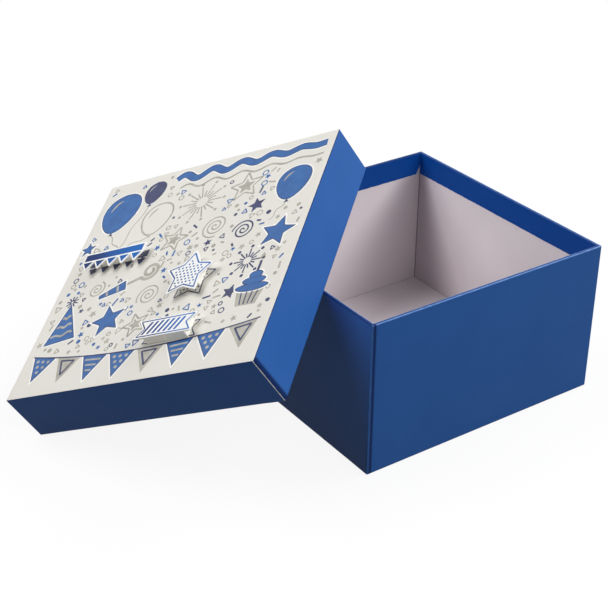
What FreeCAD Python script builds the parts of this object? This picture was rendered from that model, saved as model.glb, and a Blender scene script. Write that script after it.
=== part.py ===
# A square rigid gift box with a lift-off lid: two wrapped board trays, the lid leaning on the base,
# and three card tags on foam pads on the lid's top. Millimetres, +Z up, origin under the base's centre.
import FreeCAD, Part
import Sketcher
import math
import operator
import os
import types

SHEET = "Sizes"

# Driving dimensions, in millimetres, and one angle in degrees.
SIZES = {
    # the base, over its paper
    "base_width": 175.0,
    "base_depth": 175.0,
    "base_height": 100.0,
    # the lid's height, and its room round the base on each side
    "lid_height": 34.0,
    "lid_clearance": 0.6,
    # board, paper and tape
    "board_thickness": 2.0,
    "wrap_thickness": 0.2,
    "sheet_thickness": 0.2,
    "edge_radius": 0.9,
    "corner_slit": 0.1,
    "stay_thickness": 0.15,
    "stay_leg": 18.0,
    # hems of the wrap: over the rim to the inside, and across the closed face
    "turn_in": 15.6,
    "turn_under": 12.0,
    "notch_width": 3.0,
    "notch_height": 6.0,
    "bottom_sheet_inset": 2.0,
    "top_sheet_inset": 0.8,
    # the lean: where the lid's rim crosses the base's left and back rims, measured from the front-left and
    # the back-left corner, the turn of the lid's side from the line between the two, and the gap at each
    "lean_left": 48.5,
    "lean_back": 32.6,
    "lean_turn": 41.17,
    "lean_gap": 0.3,
    # tags: centres are measured from the middle of the lid's top
    "card_thickness": 0.8,
    "foam_thickness": 5.0,
    "bunting_length": 49.0,
    "bunting_height": 15.0,
    "bunting_band": 8.0,
    "bunting_x": -49.5,
    "bunting_y": 11.5,
    "bunting_pad_length": 12.5,
    "bunting_pad_width": 7.0,
    "bunting_pad_rise": 3.5,
    "star_radius": 18.5,
    "star_waist": 10.5,
    "star_x": 21.5,
    "star_y": -17.5,
    "star_pad_length": 8.0,
    "star_pad_width": 13.0,
    "star_pad_rise": 0.0,
    "ribbon_length": 43.0,
    "ribbon_height": 14.0,
    "ribbon_tail": 5.0,
    "ribbon_x": 21.5,
    "ribbon_y": -57.5,
    "ribbon_pad_length": 15.0,
    "ribbon_pad_width": 13.0,
    "ribbon_pad_rise": 0.0,
}
PENNANTS = 5
STAR_POINTS = 5
VOLUME_TOLERANCE = 1e-4

OPERATIONS = {"+": operator.add, "-": operator.sub, "*": operator.mul, "/": operator.truediv}


class Size:
    """A number from the sheet, or worked out from such numbers, with the formula that gives it."""

    def __init__(self, formula, number):
        self.formula = formula
        self.number = number

    def combined(self, sign, other, swapped=False):
        if not isinstance(other, Size):
            other = Size(f"{other:.9f}", other)
        left, right = (other, self) if swapped else (self, other)
        number = OPERATIONS[sign](left.number, right.number)
        return Size(f"({left.formula} {sign} {right.formula})", number)

    def __add__(self, other):
        return self.combined("+", other)

    def __sub__(self, other):
        return self.combined("-", other)

    def __mul__(self, other):
        return self.combined("*", other)

    def __rmul__(self, other):
        return self.combined("*", other, swapped=True)

    def __truediv__(self, other):
        return self.combined("/", other)

    def __neg__(self):
        return self * -1.0


MIDDLE = Size("0.0", 0.0)


def fill_sheet(doc):
    """Puts each driving dimension in a cell of its own, beside its name, and gives the sizes to use."""
    sheet = doc.addObject("Spreadsheet::Sheet", SHEET)
    for row, (name, number) in enumerate(SIZES.items(), start=1):
        sheet.set(f"A{row}", name)
        sheet.set(f"B{row}", str(number))
        sheet.setAlias(f"B{row}", name)
    doc.recompute()
    found = {name: Size(f"{SHEET}.{name}", float(sheet.get(name))) for name in SIZES}
    return types.SimpleNamespace(**found)


def bind(thing, setting, size):
    thing.setExpression(setting, size.formula)


def sketch_on(body, name, role, height=None):
    """A sketch on one of the body's origin planes, raised from it by height."""
    planes = {plane.Role: plane for plane in body.Origin.OriginFeatures}
    sketch = body.newObject("Sketcher::SketchObject", name)
    sketch.AttachmentSupport = [(planes[role], "")]
    sketch.MapMode = "FlatFace"
    if height is not None:
        bind(sketch, "AttachmentOffset.Base.z", height)
    return sketch


def dimension(sketch, edge, end, point):
    """Measures one end of an edge from the sketch's origin, along X and along Y."""
    for kind, size in zip(("DistanceX", "DistanceY"), point):
        index = sketch.addConstraint(Sketcher.Constraint(kind, -1, 1, edge, end, size.number))
        bind(sketch, f"Constraints[{index}]", size)


def sign(number):
    return (number > 0) - (number < 0)


def towards(corner, other, reach):
    """The point at reach from a corner along the straight side to another, level or upright with it."""
    across = sign(round(other[0].number - corner[0].number, 6))
    along = sign(round(other[1].number - corner[1].number, 6))
    return corner[0] + reach * across, corner[1] + reach * along


def vector(point):
    return FreeCAD.Vector(point[0].number, point[1].number, 0)


def add_arc(sketch, before, after, corner, radius):
    """Rounds a square corner by an arc from the point before it to the point after it."""
    start, end, sharp = vector(before), vector(after), vector(corner)
    centre = start + end - sharp
    turns_left = (sharp - start).cross(end - sharp).z > 0
    first, last = (start, end) if turns_left else (end, start)
    angles = [math.atan2(point.y - centre.y, point.x - centre.x) for point in (first, last)]
    circle = Part.Circle(centre, FreeCAD.Vector(0, 0, 1), radius.number)
    arc = sketch.addGeometry(Part.ArcOfCircle(circle, angles[0], angles[1]))
    index = sketch.addConstraint(Sketcher.Constraint("Radius", arc, radius.number))
    bind(sketch, f"Constraints[{index}]", radius)
    return arc, (1, 2) if turns_left else (2, 1)


def outline(sketch, corners, radii=None):
    """A closed outline through the corners. radii gives, by its place in the list, each rounded corner."""
    radii = radii or {}
    count = len(corners)
    arrive = {}
    leave = {}
    for place, corner in enumerate(corners):
        arrive[place] = leave[place] = corner
        if place in radii:
            arrive[place] = towards(corner, corners[place - 1], radii[place])
            leave[place] = towards(corner, corners[(place + 1) % count], radii[place])
    lines = []
    for place in range(count):
        ends = vector(leave[place]), vector(arrive[(place + 1) % count])
        lines.append(sketch.addGeometry(Part.LineSegment(*ends)))
    for place in range(count):
        into, out = lines[place - 1], lines[place]
        dimension(sketch, out, 1, leave[place])
        if place not in radii:
            sketch.addConstraint(Sketcher.Constraint("Coincident", into, 2, out, 1))
            continue
        dimension(sketch, into, 2, arrive[place])
        arc, ends = add_arc(sketch, arrive[place], leave[place], corners[place], radii[place])
        sketch.addConstraint(Sketcher.Constraint("Coincident", into, 2, arc, ends[0]))
        sketch.addConstraint(Sketcher.Constraint("Coincident", arc, ends[1], out, 1))


def rectangle(sketch, half_x, half_y, radius=None):
    """A rectangle about the sketch's origin, with its corners rounded where a radius is given."""
    corners = [(-half_x, -half_y), (half_x, -half_y), (half_x, half_y), (-half_x, half_y)]
    outline(sketch, corners, {place: radius for place in range(4)} if radius else None)


def pad(body, sketch, name, length):
    feature = body.newObject("PartDesign::Pad", name)
    feature.Profile = sketch
    bind(feature, "Length", length)
    return feature


def new_body(doc, name, placement):
    body = doc.addObject("PartDesign::Body", name)
    body.Label = name
    body.Placement = placement
    return body


def tray_levels(size, half):
    """A tray's own levels: its closed face lies at 0 and its rim at half.height."""
    half.wall = size.board_thickness + 2 * size.wrap_thickness
    half.board_x = half.width / 2 - size.wrap_thickness
    half.board_y = half.depth / 2 - size.wrap_thickness
    half.board_radius = size.edge_radius - size.wrap_thickness
    half.floor_low = size.sheet_thickness + size.wrap_thickness
    half.floor_high = half.floor_low + size.board_thickness
    half.board_top = half.height - size.wrap_thickness
    return half


def upright(doc, half, name, corners, radii=None):
    """A piece as high as the walls, which stands on the closed panel inside the given outline."""
    body = new_body(doc, name, half.placement)
    sketch = sketch_on(body, f"{name}_outline", "XY_Plane", half.floor_high)
    outline(sketch, corners, radii)
    pad(body, sketch, f"{name}_pad", half.board_top - half.floor_high)
    return body


def make_boards(doc, size, half):
    """The board's five panels: the closed one, and four walls that are let in for the tape stays.

    The front and back walls run through to the corners, and the side walls butt against them.
    """
    closed = new_body(doc, f"{half.name}_{half.closed_panel}_board", half.placement)
    floor = sketch_on(closed, f"{closed.Label}_outline", "XY_Plane", half.floor_low)
    rectangle(floor, half.board_x, half.board_y, half.board_radius)
    pad(closed, floor, f"{closed.Label}_pad", size.board_thickness)
    panels = [closed]

    tape = size.stay_thickness
    inset_x, inset_y = half.board_x - tape, half.board_y - tape
    leg_x, leg_y = half.board_x - size.stay_leg, half.board_y - size.stay_leg
    inner_x, inner_y = half.board_x - size.board_thickness, half.board_y - size.board_thickness
    butt_y = inner_y - size.corner_slit
    bend = half.board_radius - tape
    long_wall = [
        (-inset_x, inset_y), (-leg_x, inset_y), (-leg_x, half.board_y), (leg_x, half.board_y),
        (leg_x, inset_y), (inset_x, inset_y), (inset_x, inner_y), (-inset_x, inner_y),
    ]
    for side, way in (("front", half.front_way), ("back", -half.front_way)):
        corners = [(x, way * y) for x, y in long_wall]
        panels.append(upright(doc, half, f"{half.name}_{side}_board", corners, {0: bend, 5: bend}))
    short_wall = [
        (inner_x, -butt_y), (inset_x, -butt_y), (inset_x, -leg_y), (half.board_x, -leg_y),
        (half.board_x, leg_y), (inset_x, leg_y), (inset_x, butt_y), (inner_x, butt_y),
    ]
    for side, way in (("left", -1.0), ("right", 1.0)):
        corners = [(way * x, y) for x, y in short_wall]
        panels.append(upright(doc, half, f"{half.name}_{side}_board", corners))
    return panels


def make_stays(doc, size, half):
    """Four strips of paper tape, each bent round a corner of the walls and flush with them."""
    tape, leg = size.stay_thickness, size.stay_leg
    far_x, far_y = half.board_x, half.board_y
    bent_strip = [
        (far_x - leg, far_y), (far_x, far_y), (far_x, far_y - leg),
        (far_x - tape, far_y - leg), (far_x - tape, far_y - tape), (far_x - leg, far_y - tape),
    ]
    bends = {1: half.board_radius, 4: half.board_radius - tape}
    stays = []
    for side, front_way in (("front", half.front_way), ("back", -half.front_way)):
        for hand, hand_way in (("left", -1.0), ("right", 1.0)):
            corners = [(hand_way * x, front_way * y) for x, y in bent_strip]
            stays.append(upright(doc, half, f"{half.name}_corner_stay_{side}_{hand}", corners, bends))
    return stays


def make_wrap(doc, size, half):
    """The paper round the walls, with a hem across the closed face and a notched hem inside the rim."""
    body = new_body(doc, f"{half.name}_wrap", half.placement)
    paper = size.wrap_thickness
    outer_x, outer_y = half.width / 2, half.depth / 2
    inner_x, inner_y = half.board_x - size.board_thickness, half.board_y - size.board_thickness
    hem_low = half.height - size.turn_in

    under = sketch_on(body, f"{half.name}_under_hem_outline", "XY_Plane", size.sheet_thickness)
    rectangle(under, outer_x, outer_y, size.edge_radius)
    rectangle(under, outer_x - size.turn_under, outer_y - size.turn_under)
    pad(body, under, f"{half.name}_under_hem", paper)

    skin = sketch_on(body, f"{half.name}_skin_outline", "XY_Plane", half.floor_low)
    rectangle(skin, outer_x, outer_y, size.edge_radius)
    rectangle(skin, half.board_x, half.board_y, half.board_radius)
    pad(body, skin, f"{half.name}_skin", half.board_top - half.floor_low)

    rim = sketch_on(body, f"{half.name}_rim_outline", "XY_Plane", half.board_top)
    rectangle(rim, outer_x, outer_y, size.edge_radius)
    rectangle(rim, inner_x - paper, inner_y - paper)
    pad(body, rim, f"{half.name}_rim", paper)

    hem = sketch_on(body, f"{half.name}_inner_hem_outline", "XY_Plane", hem_low)
    rectangle(hem, inner_x, inner_y)
    rectangle(hem, inner_x - paper, inner_y - paper)
    whole = pad(body, hem, f"{half.name}_inner_hem", half.board_top - hem_low)

    notch = sketch_on(body, f"{half.name}_notch_outline", "XZ_Plane")
    edge = inner_x - paper
    for way in (-1.0, 1.0):
        triangle = [(edge, hem_low), (edge, hem_low + size.notch_height), (edge - size.notch_width, hem_low)]
        outline(notch, [(way * x, z) for x, z in triangle])
    cut = body.newObject("PartDesign::Pocket", f"{half.name}_notches")
    cut.Profile = notch
    cut.SideType = "Symmetric"
    bind(cut, "Length", 2 * inner_y)
    doc.recompute()
    notches = 2 * size.notch_width.number * size.notch_height.number * paper.number
    lost = whole.Shape.Volume - cut.Shape.Volume
    if abs(lost - notches) > VOLUME_TOLERANCE * notches:
        raise RuntimeError(f"{body.Label}: the notches took {lost} of the paper, not {notches}")
    return body


def make_sheet(doc, size, half, name, inset):
    """The paper sheet pasted over the closed face and the edges of the hem on it."""
    body = new_body(doc, name, half.placement)
    sketch = sketch_on(body, f"{name}_outline", "XY_Plane")
    rectangle(sketch, half.width / 2 - inset, half.depth / 2 - inset, size.edge_radius)
    pad(body, sketch, f"{name}_paper", size.sheet_thickness)
    return body


def lid_face(size, base, lid):
    """The frame of the lid's top: its middle, X along the front edge, Y along the right edge, Z outwards.

    Two of the lid's inner rim edges cross the base's left and back rims at two level points, and its
    front-left rim corner stands on the floor. strike runs between the two points, and uphill square to it.
    """
    turn = math.radians(size.lean_turn.number)
    level = base.height.number + size.lean_gap.number
    left = FreeCAD.Vector(0, size.lean_left.number, level)
    back = FreeCAD.Vector(size.lean_back.number, base.depth.number, level)
    span = (back - left).Length
    strike = (back - left) / span
    run_x, run_y = span * math.sin(turn), span * math.cos(turn)

    radius = size.edge_radius.number
    reach_x = lid.width.number - lid.wall.number
    reach_y = lid.depth.number - lid.wall.number - run_y
    slope = ((reach_x - radius) * run_y + (reach_y - radius) * run_x) / span + radius
    tilt = math.asin(level / slope)
    uphill = FreeCAD.Vector(strike.y, -strike.x, 0) * math.cos(tilt) + FreeCAD.Vector(0, 0, math.sin(tilt))

    across = strike * (-run_x / span) + uphill * (run_y / span)
    along = strike * (run_y / span) + uphill * (run_x / span)
    outward = across.cross(along)
    corner = left - across * reach_x - along * reach_y
    middle = corner + across * (lid.width.number / 2) + along * (lid.depth.number / 2)
    middle += outward * lid.height.number
    middle -= FreeCAD.Vector(base.width.number / 2, base.depth.number / 2, 0)
    print(f"lid tilt {math.degrees(tilt):.2f} degrees")
    return FreeCAD.Placement(middle, FreeCAD.Rotation(across, along, outward, "ZXY"))


def bunting_corners(size):
    """A row of pennants under a straight band."""
    half_x, half_y = size.bunting_length / 2, size.bunting_height / 2
    step = size.bunting_length / PENNANTS
    corners = [(half_x, half_y), (-half_x, half_y)]
    for pennant in range(PENNANTS):
        corners.append((step * pennant - half_x, half_y - size.bunting_band))
        corners.append((step * (pennant + 0.5) - half_x, -half_y))
    corners.append((half_x, half_y - size.bunting_band))
    return corners


def star_corners(size):
    """A star that stands on two of its points."""
    corners = []
    for place in range(2 * STAR_POINTS):
        angle = math.pi / 2 + math.pi * place / STAR_POINTS
        radius = size.star_waist if place % 2 else size.star_radius
        corners.append((radius * math.cos(angle), radius * math.sin(angle)))
    return corners


def ribbon_corners(size):
    """A ribbon with a swallow-tail at each end."""
    half_x, half_y = size.ribbon_length / 2, size.ribbon_height / 2
    tail = half_x - size.ribbon_tail
    return [
        (half_x, half_y), (-half_x, half_y), (-tail, MIDDLE),
        (-half_x, -half_y), (half_x, -half_y), (tail, MIDDLE),
    ]


def make_tag(doc, size, face, tag):
    """A die-cut card, and the two foam pads, side by side, that hold it off the lid's top."""
    centre = face * FreeCAD.Placement(FreeCAD.Vector(tag.x.number, tag.y.number, 0), FreeCAD.Rotation())
    above = FreeCAD.Placement(FreeCAD.Vector(0, 0, size.foam_thickness.number), FreeCAD.Rotation())
    card = new_body(doc, f"tag_{tag.name}", centre * above)
    sketch = sketch_on(card, f"tag_{tag.name}_outline", "XY_Plane")
    outline(sketch, tag.corners)
    pad(card, sketch, f"tag_{tag.name}_card", size.card_thickness)
    pieces = [card]
    low = tag.pad_rise - tag.pad_width / 2
    for hand, start in (("left", -tag.pad_length), ("right", MIDDLE)):
        block = doc.addObject("Part::Box", f"tag_{tag.name}_pad_{hand}")
        block.Label = block.Name
        bind(block, "Length", tag.pad_length)
        bind(block, "Width", tag.pad_width)
        bind(block, "Height", size.foam_thickness)
        offset = FreeCAD.Vector(start.number, low.number, 0)
        block.Placement = centre * FreeCAD.Placement(offset, FreeCAD.Rotation())
        pieces.append(block)
    return pieces


def tags(size):
    outlines = {"bunting": bunting_corners, "star": star_corners, "ribbon": ribbon_corners}
    for name, corners in outlines.items():
        keys = ("x", "y", "pad_length", "pad_width", "pad_rise")
        own = {key: getattr(size, f"{name}_{key}") for key in keys}
        yield types.SimpleNamespace(name=name, corners=corners(size), **own)


def make_half(doc, size, half, sheet_name, sheet_inset):
    pieces = make_boards(doc, size, half)
    pieces += make_stays(doc, size, half)
    pieces.append(make_wrap(doc, size, half))
    pieces.append(make_sheet(doc, size, half, sheet_name, sheet_inset))
    return pieces


def check(doc, pieces):
    """Stops before anything is written if an object failed or a piece is not one whole valid solid."""
    failed = [thing.Name for thing in doc.Objects if {"Invalid", "Error"} & set(thing.State)]
    if failed:
        raise RuntimeError(f"failed: {failed}")
    loose = [thing.Name for thing in doc.Objects if not getattr(thing, "FullyConstrained", True)]
    if loose:
        raise RuntimeError(f"sketches that are not fully dimensioned: {loose}")
    for piece in pieces:
        shape = piece.Shape
        if shape.isNull() or not shape.isValid() or len(shape.Solids) != 1:
            raise RuntimeError(f"{piece.Label} is not one valid solid")


def main():
    doc = FreeCAD.newDocument("gift_box")
    size = fill_sheet(doc)

    base = tray_levels(size, types.SimpleNamespace(
        name="base",
        width=size.base_width,
        depth=size.base_depth,
        height=size.base_height,
        front_way=-1.0,
        closed_panel="floor",
        placement=FreeCAD.Placement(),
    ))
    lid_room = 2 * (base.wall + size.lid_clearance)
    lid = tray_levels(size, types.SimpleNamespace(
        name="lid",
        width=size.base_width + lid_room,
        depth=size.base_depth + lid_room,
        height=size.lid_height,
        front_way=1.0,
        closed_panel="top",
    ))
    face = lid_face(size, base, lid)
    upside_down = FreeCAD.Rotation(FreeCAD.Vector(1, 0, 0), 180)
    lid.placement = face * FreeCAD.Placement(FreeCAD.Vector(), upside_down)

    pieces = make_half(doc, size, base, "base_bottom_sheet", size.bottom_sheet_inset)
    pieces += make_half(doc, size, lid, "lid_top_sheet", size.top_sheet_inset)
    for tag in tags(size):
        pieces += make_tag(doc, size, face, tag)

    doc.recompute()
    check(doc, pieces)
    os.makedirs("parts", exist_ok=True)
    for piece in pieces:
        piece.Shape.exportStep(f"parts/{piece.Label}.step")
    print(f"{len(pieces)} pieces written")


main()
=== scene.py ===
"""Looks of a square gift box: its printed lid leans on the open base, and both are wrapped in satin paper."""
import math

import bpy
import numpy as np
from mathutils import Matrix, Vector


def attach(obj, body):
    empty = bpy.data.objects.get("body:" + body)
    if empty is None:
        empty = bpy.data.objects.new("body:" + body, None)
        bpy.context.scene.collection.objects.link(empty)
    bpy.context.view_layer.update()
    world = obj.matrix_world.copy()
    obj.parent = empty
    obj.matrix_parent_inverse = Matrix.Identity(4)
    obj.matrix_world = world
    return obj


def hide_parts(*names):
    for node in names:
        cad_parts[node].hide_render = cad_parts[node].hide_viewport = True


MM = 0.001
SHARP_ANGLE = math.radians(40)

# The least product of two normals that count as lying in one flat side.
SAME_WAY = 0.999

# The photograph's camera, in metres and degrees.
CAMERA_PLACE = (-0.50177, -0.61549, 0.48911)
CAMERA_TURN = (60.737, -0.470, -34.663)
CAMERA_LENS = 84.03
CAMERA_SENSOR = 36.0

# Papers and folds, in millimetres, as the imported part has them.
PAPER = 0.2
SHEET = 0.2
WALL = 2.4
TURN_IN = 15.6
TURN_UNDER = 12.0
NOTCH_WIDTH = 3.0
NOTCH_HEIGHT = 6.0

# Rounded folds: radii in millimetres, half the length of a corner's arc, the steps of a round, and how
# far from it the flat part has its next point.
CORNER_RADIUS = 0.9
HALF_CORNER = math.pi / 4 * CORNER_RADIUS
FOLD_RADIUS = 0.6
CREASE_RADIUS = 0.2
ROUNDING_STEPS = 6
SUPPORT = 0.35

# The lap where a wrap's two ends meet: how thick it stands, how wide its cut edge is, how far from its
# middle the edge shows white and how it fades, and where the lower end stops under it. SIDE_STATION is
# the furthest from a side's end that a wrap has points, and FAR is further off than any of them.
LAP_RISE = 0.14
LAP_CUT = 0.4
CUT_HALF = 0.22
CUT_FADE = 0.15
LAP_UNDER = 9.0
LAP_EASE = 4.0
SIDE_STATION = 30.0
FAR = 1000.0

# How much paler the rim is at its back, left, front and right, from scuffing and as painted highlight set
# side by side as the light falls: on its outer fold, on the outer part of its top, on the rest of its top and
# along its inner edge. The two splits give the depths between which the top's outer part and the inner edge
# begin to count. Then how much paler the corners are, from scuffing and as painted highlight, how far from a
# fold its marks reach, and how deep the painted shade is on the rim's mitres, along the closed face's edge
# and where the rim has no painted highlight.
RIM_WEAR_AND_HIGHLIGHT = np.array(
    [
        (0.0, 0.0, 1.0, 0.2),
        (0.15, 0.0, 0.9, 0.75),
        (0.0, 0.0, 0.0, 0.2),
        (0.0, 0.9, 0.6, 0.1),
    ]
)
OUTER_SPLIT = (0.6, 1.0)
INNER_SPLIT = (1.5, 1.9)
CORNER_WEAR_AND_HIGHLIGHT = 0.3
FOLD_MARK_REACH = 0.48
MITRE_SHADE = 0.85
EDGE_SHADE = 1.0
RIM_SHADE = 0.9

# The dark joints between the boards inside, in millimetres: how far from the joint the dark starts and is
# full, and how dark it is along the floor and up the corners.
JOINT_START = 0.7
JOINT_FULL = 0.1
FLOOR_JOINT = 0.3
JOINT_DEPTH = 0.8

# The painted shade up the corners inside: how far it spreads at the hem, in millimetres, how much further for
# each millimetre below it, how many times narrower it is on the side boards, the share of its spread that
# is quite dark, and how deep it is there.
DUSK_TOP = 24.0
DUSK_SLOPE = 1.25
DUSK_SIDES = 2.0
DUSK_FULL = 0.2
DUSK_DEPTH = 0.62

# The lid's printed sheet, in millimetres: its margin to the lid's edge, and how far in and how deep its
# edge curves.
SHEET_MARGIN = 0.35
SHEET_CURVE = 3.0
SHEET_DROP = 0.16
SHEET_ROWS = 7

# Foam pads, in millimetres, and the strength of the painted glow that lightens their shaded sides.
FOAM_CORNER = 0.5
FOAM_GAP = 0.1
FOAM_STATIONS = 6
FOAM_EDGE = 0.15
FOAM_EDGE_POWER = 8
FOAM_WAIST = 0.22
FOAM_PORES = 0.05
FOAM_ROWS = 9
FOAM_GLOW = 0.12

# Die-cut cards, in millimetres and counts.
CARD_BEVEL = 0.12
CARD_ROUND = 0.7
PENNANTS = 5
STAR_POINTS = 5
BUNTING_BAND = 8.0
STAR_WAIST = 10.5
RIBBON_TAIL = 5.0

# Ink on the lid and the cards, in millimetres: a layer's thickness, and how wide a mark's dark line and
# white halo are. What lies over other ink has more layers. Then the garland's pennants in turn, the
# confetti's shapes and how far from the lid's middle it goes, and the seed of the random draws.
INK_LAYER = 0.018
KEYLINE = 0.55
HALO = 0.9
HALO_LAYERS = 1.5
LINE_LAYERS = 2
FILL_LAYERS = 3
TOP_LAYERS = 4
PENNANT_KINDS = ("dotted", "framed", "striped")
CONFETTI_SHAPES = ("dot", "bar", "ring", "triangle", "star")
CONFETTI_MARGIN = 85.0
DRAWS_SEED = 11

# The studio, in metres: where the lamps aim, how far off and how wide they are, each one's direction and
# its power in watts. Then the share of light from all round, how far the floor reaches, how much light it
# throws back, how white it is seen near the box, and the distances between which its shadow fades.
LAMP_TARGET = (-0.05, 0.0, 0.05)
LAMP_DISTANCE = 1.4
LAMP_SIZE = 1.1
LAMPS = {
    "back_left_lamp": ((-0.5, 0.5, 0.7), 14.0),
    "right_lamp": ((0.7, 0.0, 0.7), 10.5),
    "front_right_lamp": ((0.5, -0.5, 0.7), 5.0),
    "front_lamp": ((0.0, -0.7, 0.7), 7.0),
}
WORLD_FILL = 0.03
FLOOR_REACH = 4.0
FLOOR_SHADE = 0.16
FLOOR_WHITE = 0.9
SHADOW_NEAR = 0.26
SHADOW_FAR = 0.5

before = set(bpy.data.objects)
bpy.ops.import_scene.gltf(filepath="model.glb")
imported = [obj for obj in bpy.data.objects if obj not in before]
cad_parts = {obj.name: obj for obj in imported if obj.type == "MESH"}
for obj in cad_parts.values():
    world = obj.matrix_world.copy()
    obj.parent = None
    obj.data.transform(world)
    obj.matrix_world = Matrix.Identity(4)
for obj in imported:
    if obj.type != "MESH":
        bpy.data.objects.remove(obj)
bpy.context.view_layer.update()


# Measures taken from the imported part


def corner_places(node):
    """A node's corners in the part's frame, in metres, as an array."""
    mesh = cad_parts[node].data
    places = np.empty(3 * len(mesh.vertices))
    mesh.vertices.foreach_get("co", places)
    return places.reshape(-1, 3)


def flat_direction(node):
    """The direction that a node's largest flat side faces: the normals of the triangles that lie in it,
    each weighted by its area, added up and brought to length 1."""
    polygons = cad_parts[node].data.polygons
    areas = np.empty(len(polygons))
    normals = np.empty(3 * len(polygons))
    polygons.foreach_get("area", areas)
    polygons.foreach_get("normal", normals)
    normals = normals.reshape(-1, 3)
    alike = normals @ normals[areas.argmax()] > SAME_WAY
    total = areas[alike] @ normals[alike]
    return total / np.linalg.norm(total)


class Axes:
    """Three square directions from an origin in the part's frame. Places along them are in millimetres."""

    def __init__(self, origin, directions):
        self.origin = np.asarray(origin, float)
        self.directions = np.asarray(directions, float)

    def place(self, points):
        """origin + x * first + y * second + z * third, in metres."""
        return self.origin + MM * points.reshape(-1, 3) @ self.directions

    def measure(self, node):
        """A node's lowest and highest place along the axes."""
        places = (corner_places(node) - self.origin) @ self.directions.T / MM
        return places.min(0), places.max(0)


def lid_face_axes():
    """The lid's top: x along its front edge to the right, y along its right edge to the back, z outwards."""
    outward = flat_direction("lid_top_sheet")
    outward *= np.sign(outward[2])
    across = flat_direction("lid_right_board")
    span = corner_places("lid_right_board").mean(0) - corner_places("lid_left_board").mean(0)
    across *= np.sign(across @ span)
    directions = np.array([across, np.cross(outward, across), outward])
    low, high = Axes((0, 0, 0), directions).measure("lid_top_sheet")
    middle = np.array([(low[0] + high[0]) / 2, (low[1] + high[1]) / 2, high[2]])
    return Axes(MM * middle @ directions, directions)


LID_FACE = lid_face_axes()


class Tray:
    """A half of the box, open side up along its own z: half widths and height over the paper.

    lap_corner is the corner, counted counter-clockwise from the one at +x and +y, where the wrap's ends
    meet. The upper end stops at lap_end past its middle on the way round, or the other way where lap_way
    is -1, and cut_shown says how plainly its white cut edge shows. lap_shade gives the distances past the
    corner at which the painted shade on the paper beside it starts, is quite dark, and is so no longer, and
    at which it has faded. folds holds the turns of the wrap's section, in depth from the outer face
    and height: at the closed face, and outside and inside the rim.
    """

    def __init__(self, name, axes, lap_corner, lap_way, lap_end, cut_shown, lap_shade):
        self.name = name
        self.axes = axes
        self.lap_corner = lap_corner
        self.lap_way = lap_way
        self.lap_end = lap_end
        self.lap_cut = lap_end + LAP_CUT
        self.cut_shown = cut_shown
        self.lap_shade = lap_shade
        self.half_x, self.half_y, self.height = axes.measure(f"{name}_wrap")[1]
        self.folds = np.array([(0, SHEET), (0, self.height), (WALL, self.height)])


BASE_AXES = Axes((0, 0, 0), np.eye(3))
LID_AXES = Axes(LID_FACE.origin, LID_FACE.directions * [[1], [-1], [-1]])
BASE = Tray("base", BASE_AXES, 2, 1, lap_end=1.3, cut_shown=0.2, lap_shade=(0.7, 1.05, 2.2, 3.5))
LID = Tray("lid", LID_AXES, 0, -1, lap_end=-0.47, cut_shown=1.0, lap_shade=(-0.3, -0.05, 2.4, 4.2))


# Shader nodes, written as sums


class Wire:
    """A value on a socket. A sum on it adds the Math node that works it out."""

    def __init__(self, tree, socket):
        self.tree = tree
        self.socket = socket

    def math(self, operation, *values):
        return self.tree.node("ShaderNodeMath", {"operation": operation}, dict(enumerate(values)))

    def __add__(self, other):
        return self.math("ADD", self, other)

    def __sub__(self, other):
        return self.math("SUBTRACT", self, other)

    def __rsub__(self, other):
        return self.math("SUBTRACT", other, self)

    def __mul__(self, other):
        return self.math("MULTIPLY", self, other)

    def __abs__(self):
        return self.math("ABSOLUTE", self)

    __radd__ = __add__
    __rmul__ = __mul__

    def larger(self, other):
        return self.math("MAXIMUM", self, other)

    def smaller(self, other):
        return self.math("MINIMUM", self, other)

    def ramp(self, start, end):
        """0 before start and 1 past end, with a smooth climb between them."""
        sockets = {"Value": self, "From Min": start, "From Max": end}
        return self.tree.node("ShaderNodeMapRange", {"interpolation_type": "SMOOTHSTEP"}, sockets)


class Tree:
    """The nodes of a material or a world."""

    def __init__(self, owner):
        owner.use_nodes = True
        self.nodes = owner.node_tree.nodes
        self.links = owner.node_tree.links

    def feed(self, socket, value):
        if isinstance(value, Wire):
            self.links.new(value.socket, socket)
        else:
            socket.default_value = value

    def node(self, kind, settings=None, sockets=None, output=0):
        made = self.nodes.new(kind)
        for name, value in (settings or {}).items():
            setattr(made, name, value)
        for name, value in (sockets or {}).items():
            self.feed(made.inputs[name], value)
        return Wire(self, made.outputs[output])

    def found(self, kind):
        return next(node for node in self.nodes if node.type == kind)

    def blend(self, share, first, second):
        """A colour that is the first where share is 0 and the second where it is 1."""
        return self.node("ShaderNodeMix", {"data_type": "RGBA"}, {0: share, 6: first, 7: second}, output=2)

    def seen(self):
        """1 for what the camera, a reflection or a see-through piece shows, and 0 for light on its way."""
        kinds = ("Camera", "Glossy", "Transmission")
        rays = [self.node("ShaderNodeLightPath", output=f"Is {kind} Ray") for kind in kinds]
        return rays[0].larger(rays[1]).larger(rays[2])


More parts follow.
